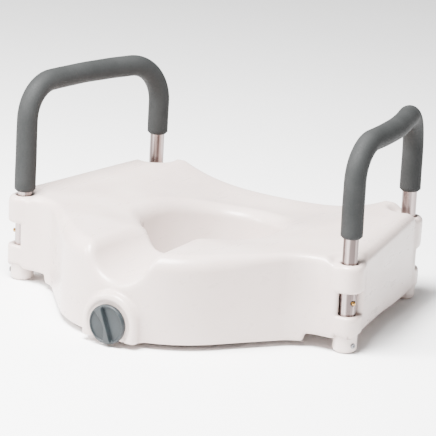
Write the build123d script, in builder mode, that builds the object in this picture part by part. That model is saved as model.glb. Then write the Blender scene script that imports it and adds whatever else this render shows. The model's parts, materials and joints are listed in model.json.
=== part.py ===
from build123d import *
from math import atan2, cos, hypot, pi, radians, sin, tan
import os

# A raised toilet seat: a hollow blow-moulded body that stands on a bowl's rim, with two padded arms
# that plug into sleeves at its corners and a knob at the front that clamps it to the bowl.
# Millimetres. The front is -Y, +X is to the right and +Z is up. Z = 0 is the bottom of the leg cups.

os.makedirs("parts", exist_ok=True)

# ---- driving dimensions ----
WALL = 3.2                 # thickness of the blow-moulded skin
SEAT_TOP = 140.0           # highest part of the sitting surface
WING_BOTTOM = 20.0         # underside of the body beside the bowl
SKIRT_BOTTOM = 8.0         # underside of the front skirt
RIM_PLANE = 28.0           # underside that faces the bowl's rim
TOP_EDGE_RADIUS = 12.0

# legs and lugs
FRONT_LEG = (277.5, -52.0)
REAR_LEG = (223.0, 236.0)
LUG_RADIUS = 22.0
LUG_TOPS = {"front": 131.0, "rear": 128.5}
UPPER_LUG_BOTTOMS = {"front": 90.0, "rear": 80.0}
LOWER_LUG_TOPS = {"front": 55.0, "rear": 50.0}
LUG_RECESS_RADIUS = 29.0
CUP_RECESS_RADIUS = 22.5
WINDOW_INNER = 9.5         # from the leg's axis to the window's inner wall
WINDOW_BACK = 9.5          # from the leg's axis to the window's back wall

# front lobe of the plan outline
LOBE_FRONT = -236.0
LOBE_RADIUS = 170.0
FLANK_ANGLE = 50.5         # degrees between the lobe's flank and the X axis
CREASE_RADIUS = 18.0
REAR_EDGE = 258.0

# opening, scoop and rear dip
OPENING_CENTRE_Y = 27.0
OPENING_TOP = (106.0, 133.0)        # half width and half length
OPENING_BOTTOM = (92.0, 118.0)
ROLL_WIDTH = 16.0          # flare of the lip around the opening
ROLL_BOTTOM = 102.0
ROLL_TOP = 146.0
EGG_POINTS = 24
EGG_START = 10.0           # Y where the opening starts to narrow, and where it has narrowed fully
EGG_END = -95.0
EGG_SQUEEZE = 0.3
GUARD_WALL = 5.0
ABOVE_TOP = 10.0           # how far the cuts from above start over the seat
SCOOP_RADIUS = 56.0
SCOOP_BACK = (-108.0, 105.0)        # Y and floor height
SCOOP_FRONT = (-221.0, 92.0)
DIP_RADIUS = 620.0
DIP_REAR = (258.0, 114.0)           # Y and floor height
DIP_FRONT = (-205.0, 136.0)
DIP_REACH = 80.0           # how far each cut runs on past its two points
SCOOP_REACH = 50.0

# underside pocket for the bowl's rim
POCKET_HALF_WIDTH = 178.0
POCKET_CENTRE_Y = -20.0
POCKET_FRONT = -210.0

# tubes and grips
TUBE_OD = 22.2
TUBE_WALL = 1.6
SLEEVE_OD = 25.4
SLEEVE_BORE = 22.4
SLEEVE_TOP = 126.5
SLEEVE_BOTTOM = 5.0
ARM_BOTTOM = 19.0
BAR_FRONT = 300.1          # heights of the bar's corners on the centre line
BAR_REAR = 294.7
BAR_BOW = 16.0             # how far the bar's middle corner stands outside the legs
FRONT_BEND = 54.0
BOW_BEND = 500.0
REAR_BEND = 64.0
FOAM_OD = 32.0
FOAM_ENDS = {"left": (137.0, 180.0), "right": (168.0, 168.0)}   # front end, rear end

# leg cups
CUP_RADIUS = 17.5
CUP_TOPS = {"front": 27.0, "rear": 22.0}       # undersides of the lugs above the cups
CUP_FLOOR = 4.0
CUP_EDGE = 6.0
CUP_SCREW_Z = 12.0
CUP_GAP = 0.6              # between a cup's rim and the lug above it
CUP_SCREW_HOLE = 1.7
CUP_SCREW_SHANK = 1.6
CUP_SCREW_TIP = 11.6       # from the leg's axis to the screw's inner end
CUP_SCREW_HEAD = 3.9
CUP_SCREW_RISE = 2.0
CUP_SCREW_SLOT = (4.6, 0.9)

# snap buttons
BUTTON_HEIGHTS = {"front": 74.0, "rear": 66.0}
BUTTON_BEARINGS = {"front": 68.0, "rear": -15.0}   # degrees from straight ahead or back, outwards
BUTTON_RADIUS = 3.2
BUTTON_DOME = 2.4          # rounding of the button's outer end
BUTTON_TIP = 16.2
BUTTON_HOLE = 3.4
SLEEVE_HOLE = 4.6
FLANGE_RADIUS = 4.6
FLANGE_OUT = 8.2           # from the leg's axis to the outer face of the flange
FLANGE_THICK = 1.2
SPRING_THICK = 0.6
SPRING_HALF = 2.8
SPRING_BACK = 1.4          # from the tube's bore to the spring's rear leg
SPRING_FOOT = (1.5, -32.0)  # the V's point: out from the leg's axis, and below the button
SPRING_NEAR = 5.0          # half height of the leg behind the button
SPRING_FAR = (-10.0, 12.0)          # heights of the other leg's ends, from the button
SPRING_BEND = 2.5

# knob and clamp
KNOB_Z = 32.0
KNOB_RADIUS = 29.0
BOSS_RADIUS = 45.0
BOSS_FACE = -246.0
KNOB_BACK = -246.5
KNOB_RIM = -253.5
GRIP_FACE = -258.0
HUB_RADIUS = 10.0
HUB_END = -243.0
RECESS_RADIUS = 12.5
RECESS_FLOOR = -239.3
SPINDLE_RADIUS = 5.0
SPINDLE_FRONT = -249.6
SPINDLE_REAR = -103.0
PIN_RADIUS = 1.25
PIN_Y = -248.2
PIN_HALF = 8.5
BUSH_RADIUS = 8.5
BUSH_REAR = -210.2
TUNNEL_RADIUS = 13.0
CHANNEL_HALF = 17.0
CHANNEL_TOP = 48.0
CHANNEL_REAR = -102.0
JAW_FRONT = -155.0
JAW_THICK = 9.0
BRACKET_Y = -106.0

# fits and cuts
RUNNING_FIT = 0.1
PRESS_GAP = 0.05
CUT = 60.0                 # length of a cut that only has to reach past the piece
RING_GROOVE = 0.6          # depth of the groove for the retaining ring


# ---- shared helpers ----
def leg_point(side, end):
    """Plan position of one leg: side is +1 right or -1 left, end is 'front' or 'rear'."""
    x, y = FRONT_LEG if end == "front" else REAR_LEG
    return side * x, y


def arm_heading(side):
    """Unit direction in plan from the front leg to the rear leg of one arm."""
    run = REAR_LEG[1] - FRONT_LEG[1]
    toe_in = REAR_LEG[0] - FRONT_LEG[0]
    length = hypot(run, toe_in)
    return side * toe_in / length, run / length


def outward(side):
    """Unit direction in plan that is square to the arm and points away from the seat."""
    hx, hy = arm_heading(side)
    return side * hy, -side * hx


def leg_plane(side, end, height):
    """Level plane on one leg's axis at the given height, with x along the arm towards the rear."""
    x, y = leg_point(side, end)
    hx, hy = arm_heading(side)
    return Plane(origin=(x, y, height), x_dir=(hx, hy, 0), z_dir=(0, 0, 1))


def radial_plane(side, end, height, reach=0.0):
    """Upright plane whose normal points out of the leg towards its snap button."""
    x, y = leg_point(side, end)
    facing = -1 if end == "front" else 1
    bearing = radians(BUTTON_BEARINGS[end])
    dx, dy = side * sin(bearing), facing * cos(bearing)
    return Plane(origin=(x + dx * reach, y + dy * reach, height), x_dir=(0, 0, 1), z_dir=(dx, dy, 0))


def front_plane(y):
    """Upright plane at the given Y, on the knob's axis, with its normal pointing to the front."""
    return Plane(origin=(0, y, KNOB_Z), x_dir=(1, 0, 0), z_dir=(0, -1, 0))


def finish(part, name):
    """Label a finished piece and write it."""
    part.label = name
    export_step(part, "parts/" + name + ".step")


# ---- seat body ----
BOSS_BACK = -200.0         # inside the lobe, behind the boss
SKIRT_SIDE = 6.0           # how far the skirt reaches past the lobe's flanks
SKIRT_TOP = 40.0
CREASE_LAP = 2.0
GUARD_GAP = 2.5            # between the guard's foot and the opening's lower oval
VENT_RADIUS = 4.0
VENT_Y = 205.0
CUT_LAP = 2.0              # how far a bore starts inside its neighbour

def flank_ends():
    """Plan points where the lobe's straight flank leaves the nose arc and meets the wing's front face."""
    angle = radians(FLANK_ANGLE)
    start = (LOBE_RADIUS * sin(angle), LOBE_FRONT + LOBE_RADIUS * (1 - cos(angle)))
    wing_y = FRONT_LEG[1] - LUG_RADIUS
    return start, (start[0] + (wing_y - start[1]) / tan(angle), wing_y)


def body_outline(skin):
    """The body's plan, pulled in by the skin."""
    shoulder, crease_point = flank_ends()
    fx, fy = FRONT_LEG
    rx, ry = REAR_LEG
    ox, oy = outward(1)
    diagonal = LUG_RADIUS * cos(radians(45))
    front_out = (fx + ox * LUG_RADIUS, fy + oy * LUG_RADIUS)
    rear_out = (rx + ox * LUG_RADIUS, ry + oy * LUG_RADIUS)
    with BuildSketch() as plan:
        with BuildLine():
            ThreePointArc((-shoulder[0], shoulder[1]), (0, LOBE_FRONT), shoulder)
            for side in (1, -1):
                Line((side * shoulder[0], shoulder[1]), (side * crease_point[0], crease_point[1]))
                Line((side * crease_point[0], crease_point[1]), (side * fx, crease_point[1]))
                ThreePointArc((side * fx, crease_point[1]), (side * (fx + diagonal), fy - diagonal),
                              (side * front_out[0], front_out[1]))
                Line((side * front_out[0], front_out[1]), (side * rear_out[0], rear_out[1]))
                ThreePointArc((side * rear_out[0], rear_out[1]), (side * (rx + diagonal), ry + diagonal),
                              (side * rx, REAR_EDGE))
            Line((rx, REAR_EDGE), (-rx, REAR_EDGE))
        make_face()
        creases = plan.vertices().filter_by_position(Axis.Y, crease_point[1] - 1, crease_point[1] + 1)
        fillet([v for v in creases if abs(v.X) < fx - 1], radius=CREASE_RADIUS)
        if skin > 0:
            offset(amount=-skin, mode=Mode.REPLACE)
    return plan.sketch


def opening_sketch(height, half_width, half_length):
    """Outline of the opening at one height: an ellipse that is squeezed towards the front like an egg."""
    points = []
    for step in range(EGG_POINTS):
        angle = 2 * pi * step / EGG_POINTS
        y = OPENING_CENTRE_Y + half_length * sin(angle)
        share = min(max((EGG_START - y) / (EGG_START - EGG_END), 0), 1)
        squeeze = 1 - EGG_SQUEEZE * share ** 2 * (3 - 2 * share)
        points.append((half_width * squeeze * cos(angle), y))
    with BuildSketch(Plane.XY.offset(height)) as egg:
        with BuildLine():
            Spline(*points, periodic=True)
        make_face()
    return egg.sketch


def sloped_cylinder(radius, front, rear, reach):
    """Solid cylinder along Y whose lowest line runs through two (Y, height) points."""
    slope = atan2(rear[1] - front[1], rear[0] - front[0])
    start = (0, front[0] - reach * cos(slope), front[1] - reach * sin(slope) + radius)
    length = hypot(rear[0] - front[0], rear[1] - front[1]) + 2 * reach
    axis = Plane(origin=start, x_dir=(1, 0, 0), z_dir=(0, cos(slope), sin(slope)))
    with BuildPart() as cylinder:
        with BuildSketch(axis):
            Circle(radius)
        extrude(amount=length)
    return cylinder.part


def window_block(side, end, skin):
    """Block cut away between the two lugs of one corner, open to the outside and to the front or rear."""
    leg_x, leg_y = leg_point(side, end)
    hx, hy = arm_heading(side)
    ox, oy = outward(side)
    away = -1 if end == "front" else 1
    along_middle = away * (CUT - WINDOW_BACK - skin) / 2
    along_length = CUT + WINDOW_BACK + skin
    out_middle = (CUT - WINDOW_INNER - skin) / 2
    out_length = CUT + WINDOW_INNER + skin
    centre = (leg_x + hx * along_middle + ox * out_middle, leg_y + hy * along_middle + oy * out_middle,
              LOWER_LUG_TOPS[end] - skin)
    frame = Plane(origin=centre, x_dir=(hx, hy, 0), z_dir=(0, 0, 1))
    with BuildPart() as block:
        with BuildSketch(frame):
            Rectangle(along_length, out_length)
        extrude(amount=UPPER_LUG_BOTTOMS[end] - LOWER_LUG_TOPS[end] + 2 * skin)
    return block.part


def seat_form(skin):
    """The body's outer shape for skin = 0, and the shape of its cavity for skin = WALL."""
    top = SEAT_TOP - skin
    with BuildPart() as form:
        with BuildSketch(Plane.XY.offset(WING_BOTTOM + skin)):
            add(body_outline(skin))
        extrude(amount=top - WING_BOTTOM - skin)
        fillet(form.edges().group_by(Axis.Z)[-1], radius=TOP_EDGE_RADIUS - skin)
        # skirt under the front lobe
        with BuildSketch(Plane.XY.offset(SKIRT_BOTTOM + skin)):
            add(body_outline(skin))
            with Locations((0, FRONT_LEG[1] - LUG_RADIUS + CREASE_LAP - skin)):
                skirt_width = 2 * (flank_ends()[1][0] + SKIRT_SIDE - skin)
                Rectangle(skirt_width, 4 * LOBE_RADIUS, align=(Align.CENTER, Align.MAX), mode=Mode.INTERSECT)
        extrude(amount=SKIRT_TOP)
        # boss around the knob
        with BuildSketch(front_plane(BOSS_BACK)):
            Circle(BOSS_RADIUS - skin)
            with Locations((0, SKIRT_BOTTOM + skin - KNOB_Z)):
                Rectangle(4 * BOSS_RADIUS, 2 * BOSS_RADIUS, align=(Align.CENTER, Align.MIN),
                          mode=Mode.INTERSECT)
            Rectangle(2 * (BOSS_RADIUS - skin), KNOB_Z - SKIRT_BOTTOM - skin, align=(Align.CENTER, Align.MAX))
        extrude(amount=BOSS_BACK - BOSS_FACE - skin)
        # pocket that takes the bowl's rim, with the splash guard standing inside it
        with BuildSketch(Plane.XY):
            with Locations((0, POCKET_CENTRE_Y)):
                Ellipse(POCKET_HALF_WIDTH + skin, POCKET_CENTRE_Y - POCKET_FRONT + skin)
                Rectangle(2 * (POCKET_HALF_WIDTH + skin), 2 * REAR_EDGE, align=(Align.CENTER, Align.MIN))
            with Locations((0, OPENING_CENTRE_Y)):
                guard = GUARD_WALL + GUARD_GAP - skin
                Ellipse(OPENING_BOTTOM[0] + guard, OPENING_BOTTOM[1] + guard, mode=Mode.SUBTRACT)
        extrude(amount=RIM_PLANE + skin, mode=Mode.SUBTRACT)
        # channel above the rim for the spindle and the jaw
        with BuildSketch(Plane.XY.offset(RIM_PLANE)):
            with Locations((0, (POCKET_FRONT + CHANNEL_REAR) / 2)):
                Rectangle(2 * (CHANNEL_HALF + skin), CHANNEL_REAR - POCKET_FRONT + 2 * skin)
        extrude(amount=CHANNEL_TOP - RIM_PLANE + skin, mode=Mode.SUBTRACT)
        # rear dip and front scoop
        add(sloped_cylinder(DIP_RADIUS + skin, DIP_FRONT, DIP_REAR, DIP_REACH), mode=Mode.SUBTRACT)
        add(sloped_cylinder(SCOOP_RADIUS + skin, SCOOP_FRONT, SCOOP_BACK, SCOOP_REACH), mode=Mode.SUBTRACT)
        # tapered opening with a flared lip
        low = opening_sketch(0, OPENING_BOTTOM[0] + skin, OPENING_BOTTOM[1] + skin)
        high = opening_sketch(SEAT_TOP + ABOVE_TOP, OPENING_TOP[0] + skin, OPENING_TOP[1] + skin)
        loft(sections=[low, high], mode=Mode.SUBTRACT)
        inset = ROLL_WIDTH / 2 - skin
        flare_low = opening_sketch(ROLL_BOTTOM, OPENING_TOP[0] - inset, OPENING_TOP[1] - inset)
        spread = ROLL_WIDTH + skin
        flare_high = opening_sketch(ROLL_TOP, OPENING_TOP[0] + spread, OPENING_TOP[1] + spread)
        loft(sections=[flare_low, flare_high], mode=Mode.SUBTRACT)
        for side in (1, -1):
            for end in ("front", "rear"):
                add(window_block(side, end, skin), mode=Mode.SUBTRACT)
                column_bottom = 0 if skin > 0 else LUG_TOPS[end]
                with BuildSketch(Plane.XY.offset(column_bottom)):
                    with Locations(leg_point(side, end)):
                        Circle(LUG_RECESS_RADIUS + skin)
                extrude(amount=SEAT_TOP + ABOVE_TOP - column_bottom, mode=Mode.SUBTRACT)
    return form.part


with BuildPart() as seat_body:
    add(seat_form(0))
    add(seat_form(WALL), mode=Mode.SUBTRACT)
    # solid tunnel for the spindle's bush
    with BuildSketch(front_plane(POCKET_FRONT)):
        Circle(TUNNEL_RADIUS)
    extrude(amount=POCKET_FRONT - BOSS_FACE - WALL / 2)
    with BuildSketch(front_plane(POCKET_FRONT + CUT_LAP)):
        Circle(BUSH_RADIUS)
    extrude(amount=CUT, mode=Mode.SUBTRACT)
    with BuildSketch(front_plane(RECESS_FLOOR)):
        Circle(RECESS_RADIUS)
    extrude(amount=CUT / 3, mode=Mode.SUBTRACT)
    # sleeve bores through the lugs
    for side in (1, -1):
        for end in ("front", "rear"):
            with BuildSketch(leg_plane(side, end, 0)):
                Circle(SLEEVE_OD / 2 + PRESS_GAP)
            extrude(amount=SEAT_TOP + CUT, mode=Mode.SUBTRACT)
            with BuildSketch(Plane.XY):
                with Locations(leg_point(side, end)):
                    Circle(CUP_RECESS_RADIUS)
            extrude(amount=CUP_TOPS[end], mode=Mode.SUBTRACT)
    # blow-pin vent in the underside
    with BuildSketch(Plane.XY.offset(RIM_PLANE - CUT_LAP)):
        with Locations((0, VENT_Y)):
            Circle(VENT_RADIUS)
    extrude(amount=3 * WALL, mode=Mode.SUBTRACT)
finish(seat_body.part, "seat_body")


# ---- sleeves, cups and cup screws ----
def make_sleeve(side, end):
    """Aluminium sleeve with the hole that the snap button comes out of."""
    with BuildPart() as sleeve:
        with BuildSketch(leg_plane(side, end, SLEEVE_BOTTOM)):
            Circle(SLEEVE_OD / 2)
            Circle(SLEEVE_BORE / 2, mode=Mode.SUBTRACT)
        extrude(amount=SLEEVE_TOP - SLEEVE_BOTTOM)
        with BuildSketch(radial_plane(side, end, BUTTON_HEIGHTS[end])):
            Circle(SLEEVE_HOLE)
        extrude(amount=CUT, mode=Mode.SUBTRACT)
        with BuildSketch(radial_plane(side, end, CUP_SCREW_Z)):
            Circle(CUP_SCREW_HOLE)
        extrude(amount=CUT, mode=Mode.SUBTRACT)
    return sleeve.part


def make_cup(side, end):
    """Plastic end cap with a rounded bottom, pushed on to the sleeve."""
    with BuildPart() as cup:
        with BuildSketch(leg_plane(side, end, 0)):
            Circle(CUP_RADIUS)
        extrude(amount=CUP_TOPS[end] - CUP_GAP)
        fillet(cup.edges().group_by(Axis.Z)[0], radius=CUP_EDGE)
        with BuildSketch(leg_plane(side, end, CUP_FLOOR)):
            Circle(SLEEVE_OD / 2 + PRESS_GAP)
        extrude(amount=CUP_TOPS[end], mode=Mode.SUBTRACT)
        with BuildSketch(radial_plane(side, end, CUP_SCREW_Z)):
            Circle(CUP_SCREW_HOLE)
        extrude(amount=CUT, mode=Mode.SUBTRACT)
    return cup.part


def make_cup_screw(side, end):
    """Pan-head screw through the cup into the sleeve."""
    with BuildPart() as screw:
        with BuildSketch(radial_plane(side, end, CUP_SCREW_Z, CUP_SCREW_TIP)):
            Circle(CUP_SCREW_SHANK)
        extrude(amount=CUP_RADIUS - CUP_SCREW_TIP)
        with BuildSketch(radial_plane(side, end, CUP_SCREW_Z, CUP_RADIUS)):
            Circle(CUP_SCREW_HEAD)
        extrude(amount=CUP_SCREW_RISE)
        outer = radial_plane(side, end, CUP_SCREW_Z, CUP_RADIUS + CUP_SCREW_RISE).origin
        rims = screw.edges().filter_by(GeomType.CIRCLE).sort_by(SortBy.RADIUS)[-2:]
        fillet(rims.sort_by_distance(outer)[0], radius=CUP_SCREW_RISE / 2)
        with BuildSketch(radial_plane(side, end, CUP_SCREW_Z, CUP_RADIUS + CUP_SCREW_RISE / 2)):
            Rectangle(*CUP_SCREW_SLOT)
            Rectangle(CUP_SCREW_SLOT[1], CUP_SCREW_SLOT[0])
        extrude(amount=CUP_SCREW_RISE, mode=Mode.SUBTRACT)
    return screw.part


# ---- arms ----
def arm_point(side, along, height, bow=0.0):
    """Point of an arm: a distance along from the front leg, a height, and a distance bowed outwards."""
    x, y = leg_point(side, "front")
    hx, hy = arm_heading(side)
    ox, oy = outward(side)
    return x + hx * along + ox * bow, y + hy * along + oy * bow, height


def arm_path(side, front_end, rear_end):
    """Centre line of one arm between two heights of its legs. The bar bows outwards in the middle."""
    span = hypot(REAR_LEG[0] - FRONT_LEG[0], REAR_LEG[1] - FRONT_LEG[1])
    corners = [arm_point(side, 0, front_end), arm_point(side, 0, BAR_FRONT),
               arm_point(side, span / 2, (BAR_FRONT + BAR_REAR) / 2, BAR_BOW),
               arm_point(side, span, BAR_REAR), arm_point(side, span, rear_end)]
    with BuildLine() as path:
        FilletPolyline(*corners, radius=(FRONT_BEND, BOW_BEND, REAR_BEND))
    return path.line


def make_arm_tube(side):
    """Bent aluminium tube with a hole for the snap button in each leg."""
    path = arm_path(side, ARM_BOTTOM, ARM_BOTTOM)
    with BuildPart() as tube:
        with BuildSketch(Plane(origin=path @ 0, z_dir=path % 0)):
            Circle(TUBE_OD / 2)
            Circle(TUBE_OD / 2 - TUBE_WALL, mode=Mode.SUBTRACT)
        sweep(path=path)
        for end in ("front", "rear"):
            with BuildSketch(radial_plane(side, end, BUTTON_HEIGHTS[end])):
                Circle(BUTTON_HOLE)
            extrude(amount=CUT, mode=Mode.SUBTRACT)
    return tube.part


def make_foam_grip(side):
    """Foam sleeve over the bar and the upper legs of one arm."""
    front_end, rear_end = FOAM_ENDS["right" if side > 0 else "left"]
    path = arm_path(side, front_end, rear_end)
    with BuildPart() as foam:
        with BuildSketch(Plane(origin=path @ 0, z_dir=path % 0)):
            Circle(FOAM_OD / 2)
            Circle(TUBE_OD / 2 + PRESS_GAP, mode=Mode.SUBTRACT)
        sweep(path=path)
    return foam.part


def make_snap_button(side, end):
    """Domed brass button with a flange that stops it inside the tube."""
    with BuildPart() as button:
        with BuildSketch(radial_plane(side, end, BUTTON_HEIGHTS[end], FLANGE_OUT - FLANGE_THICK)):
            Circle(FLANGE_RADIUS)
        extrude(amount=FLANGE_THICK)
        with BuildSketch(radial_plane(side, end, BUTTON_HEIGHTS[end], FLANGE_OUT)):
            Circle(BUTTON_RADIUS)
        extrude(amount=BUTTON_TIP - FLANGE_OUT)
        outer = radial_plane(side, end, BUTTON_HEIGHTS[end], BUTTON_TIP).origin
        fillet(button.edges().filter_by(GeomType.CIRCLE).sort_by_distance(outer)[0], radius=BUTTON_DOME)
    return button.part


def make_snap_spring(side, end):
    """V-shaped leaf spring: one leg behind the button, the other against the far side of the tube."""
    near = FLANGE_OUT - FLANGE_THICK - SPRING_THICK / 2
    far = SPRING_BACK + TUBE_WALL - TUBE_OD / 2
    profile = radial_plane(side, end, BUTTON_HEIGHTS[end])
    upright = Plane(origin=profile.origin, x_dir=profile.z_dir, z_dir=profile.z_dir.cross(profile.x_dir))
    with BuildPart() as spring:
        with BuildSketch(upright):
            with BuildLine():
                FilletPolyline((near, SPRING_NEAR), (near, -SPRING_NEAR), SPRING_FOOT,
                               (far, SPRING_FAR[0]), (far, SPRING_FAR[1]), radius=SPRING_BEND)
            trace(line_width=SPRING_THICK)
        extrude(amount=SPRING_HALF, both=True)
    return spring.part


for side, side_name in ((1, "right"), (-1, "left")):
    finish(make_arm_tube(side), "arm_tube_" + side_name)
    finish(make_foam_grip(side), "foam_grip_" + side_name)
    for end in ("front", "rear"):
        corner = end + "_" + side_name
        finish(make_sleeve(side, end), "socket_sleeve_" + corner)
        finish(make_cup(side, end), "leg_cup_" + corner)
        finish(make_cup_screw(side, end), "cup_screw_" + corner)
        finish(make_snap_button(side, end), "snap_button_" + corner)
        finish(make_snap_spring(side, end), "snap_spring_" + corner)


# ---- lock knob, spindle and bush ----
KNOB_EDGE = 2.5
DISH_FLOOR = KNOB_RIM + 3.5
DISH_RADIUS = KNOB_RADIUS - 4
GRIP_SIZE = (12.0, 2 * KNOB_RADIUS - 5)
GRIP_TAPER = 12            # degrees
WASHER_THICK = 1.5
RING_THICK = 1.4
RING_RADIUS = SPINDLE_RADIUS + 3.2
RING_GAP = 4.0             # opening in the ring
GROOVE_OFFSET = 0.3        # from the bush's rear end to the groove
RING_OFFSET = 0.35
GROOVE_REACH = 1.0         # how far the groove's cut reaches outside the spindle
SPINDLE_CHAMFER = 1.0
WASHER_OVERHANG = 1.0      # of the washer past the hub
BUSH_HEAD_GAP = 0.5        # around the bush's head
BORE_LEAD = 5.0            # how far a bore starts outside its piece

with BuildPart() as lock_knob:
    with BuildSketch(front_plane(KNOB_BACK)):
        Circle(KNOB_RADIUS)
    extrude(amount=KNOB_BACK - KNOB_RIM)
    fillet(lock_knob.edges().group_by(Axis.Y)[0], radius=KNOB_EDGE)
    # dished face around a raised grip bar
    with BuildSketch(front_plane(DISH_FLOOR)):
        Circle(DISH_RADIUS)
    extrude(amount=CUT, mode=Mode.SUBTRACT)
    with BuildSketch(front_plane(DISH_FLOOR)):
        Rectangle(*GRIP_SIZE)
    extrude(amount=DISH_FLOOR - GRIP_FACE, taper=GRIP_TAPER)
    with BuildSketch(front_plane(HUB_END)):
        Circle(HUB_RADIUS)
    extrude(amount=HUB_END - KNOB_BACK)
    with BuildSketch(front_plane(SPINDLE_FRONT - PRESS_GAP)):
        Circle(SPINDLE_RADIUS + PRESS_GAP)
    extrude(amount=-CUT, mode=Mode.SUBTRACT)
    with BuildSketch(Plane(origin=(0, PIN_Y, KNOB_Z), z_dir=(1, 0, 0))):
        Circle(PIN_RADIUS + PRESS_GAP)
    extrude(amount=PIN_HALF + PRESS_GAP, both=True, mode=Mode.SUBTRACT)
finish(lock_knob.part, "lock_knob")

with BuildPart() as knob_pin:
    with BuildSketch(Plane(origin=(0, PIN_Y, KNOB_Z), z_dir=(1, 0, 0))):
        Circle(PIN_RADIUS)
    extrude(amount=PIN_HALF, both=True)
finish(knob_pin.part, "knob_pin")

with BuildPart() as lock_spindle:
    with BuildSketch(front_plane(SPINDLE_REAR)):
        Circle(SPINDLE_RADIUS)
    extrude(amount=SPINDLE_REAR - SPINDLE_FRONT)
    chamfer(lock_spindle.edges().group_by(Axis.Y)[-1], length=SPINDLE_CHAMFER)
    with BuildSketch(Plane(origin=(0, PIN_Y, KNOB_Z), z_dir=(1, 0, 0))):
        Circle(PIN_RADIUS + PRESS_GAP)
    extrude(amount=PIN_HALF + PRESS_GAP, both=True, mode=Mode.SUBTRACT)
    # groove for the retaining ring
    with BuildSketch(front_plane(BUSH_REAR + GROOVE_OFFSET)):
        Circle(SPINDLE_RADIUS + GROOVE_REACH)
        Circle(SPINDLE_RADIUS - RING_GROOVE, mode=Mode.SUBTRACT)
    extrude(amount=-RING_THICK - RUNNING_FIT, mode=Mode.SUBTRACT)
finish(lock_spindle.part, "lock_spindle")

with BuildPart() as thrust_washer:
    with BuildSketch(front_plane(HUB_END + WASHER_THICK + RUNNING_FIT)):
        Circle(HUB_RADIUS + WASHER_OVERHANG)
        Circle(SPINDLE_RADIUS + 3 * RUNNING_FIT, mode=Mode.SUBTRACT)
    extrude(amount=WASHER_THICK)
finish(thrust_washer.part, "thrust_washer")

with BuildPart() as spindle_bush:
    with BuildSketch(front_plane(BUSH_REAR)):
        Circle(BUSH_RADIUS)
    extrude(amount=BUSH_REAR - RECESS_FLOOR)
    with BuildSketch(front_plane(RECESS_FLOOR)):
        Circle(RECESS_RADIUS - BUSH_HEAD_GAP)
    extrude(amount=RECESS_FLOOR - HUB_END - WASHER_THICK - 2 * RUNNING_FIT)
    with BuildSketch(front_plane(BUSH_REAR + BORE_LEAD)):
        Circle(SPINDLE_RADIUS + RUNNING_FIT)
    extrude(amount=CUT, mode=Mode.SUBTRACT)
finish(spindle_bush.part, "spindle_bush")

with BuildPart() as retaining_ring:
    with BuildSketch(front_plane(BUSH_REAR + RING_OFFSET)):
        Circle(RING_RADIUS)
        Circle(SPINDLE_RADIUS - RING_GROOVE, mode=Mode.SUBTRACT)
        with Locations((0, -RING_RADIUS)):
            Rectangle(RING_GAP, RING_RADIUS, mode=Mode.SUBTRACT)
    extrude(amount=-RING_THICK)
finish(retaining_ring.part, "retaining_ring")

# ---- clamp jaw ----
NUT_HALF = 8.0
NUT_FRONT = JAW_FRONT + 1.0
NUT_THICK = 10.0
JAW_BLOCK_HALF = 14.0
JAW_BLOCK_DEPTH = 13.5
JAW_BLOCK_BOTTOM = 12.0
JAW_BLOCK_HEIGHT = 34.0
JAW_PLATE = (76.0, 20.0, 6.0)       # width, height and corner radius
JAW_PLATE_BOTTOM = 3.5
JAW_PAD = (70.0, 16.0, 4.0)
JAW_PAD_BOTTOM = 5.0
JAW_PAD_THICK = 3.0
JAW_BORE_GAP = 0.5         # around the spindle
NUT_POCKET_GAP = 0.1
BORE_END = 1.0             # how far the spindle's bore starts behind the jaw

with BuildPart() as clamp_jaw:
    with BuildSketch(Plane(origin=(0, JAW_FRONT, 0), x_dir=(1, 0, 0), z_dir=(0, -1, 0))):
        with Locations((0, JAW_PLATE_BOTTOM)):
            RectangleRounded(*JAW_PLATE, align=(Align.CENTER, Align.MIN))
    extrude(amount=-JAW_THICK)
    with BuildSketch(Plane(origin=(0, JAW_FRONT, 0), x_dir=(1, 0, 0), z_dir=(0, -1, 0))):
        with Locations((0, JAW_BLOCK_BOTTOM)):
            Rectangle(2 * JAW_BLOCK_HALF, JAW_BLOCK_HEIGHT, align=(Align.CENTER, Align.MIN))
    extrude(amount=-JAW_BLOCK_DEPTH)
    with BuildSketch(front_plane(JAW_FRONT + JAW_BLOCK_DEPTH + BORE_END)):
        Circle(SPINDLE_RADIUS + JAW_BORE_GAP)
    extrude(amount=JAW_BLOCK_DEPTH + BORE_LEAD, mode=Mode.SUBTRACT)
    with BuildSketch(front_plane(NUT_FRONT + NUT_THICK)):
        RegularPolygon(NUT_HALF + NUT_POCKET_GAP, 6)
    extrude(amount=NUT_THICK + BORE_LEAD, mode=Mode.SUBTRACT)
finish(clamp_jaw.part, "clamp_jaw")

with BuildPart() as jaw_nut:
    with BuildSketch(front_plane(NUT_FRONT + NUT_THICK)):
        RegularPolygon(NUT_HALF, 6)
        Circle(SPINDLE_RADIUS + RUNNING_FIT, mode=Mode.SUBTRACT)
    extrude(amount=NUT_THICK)
finish(jaw_nut.part, "jaw_nut")

with BuildPart() as jaw_pad:
    with BuildSketch(Plane(origin=(0, JAW_FRONT, 0), x_dir=(1, 0, 0), z_dir=(0, -1, 0))):
        with Locations((0, JAW_PAD_BOTTOM)):
            RectangleRounded(*JAW_PAD, align=(Align.CENTER, Align.MIN))
    extrude(amount=JAW_PAD_THICK)
finish(jaw_pad.part, "jaw_pad")

# ---- bracket for the free end of the spindle ----
BRACKET_FOOT = 2.5
BRACKET_FOOT_SIZE = (62.0, 9.0, 2.0)
BRACKET_THICK = 5.0
BRACKET_SCREW_X = 24.0
BRACKET_SCREW_SHANK = 1.7
BRACKET_SCREW_HEAD = 3.2
BRACKET_SCREW_RISE = 1.8
BRACKET_SCREW_EDGE = 0.8
BRACKET_SIDE_GAP = 0.3     # on each side of the bracket in the channel
BRACKET_TOP_GAP = 1.5
BRACKET_BORE = 20.0        # length of the cut for the spindle, centred on the bracket

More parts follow.
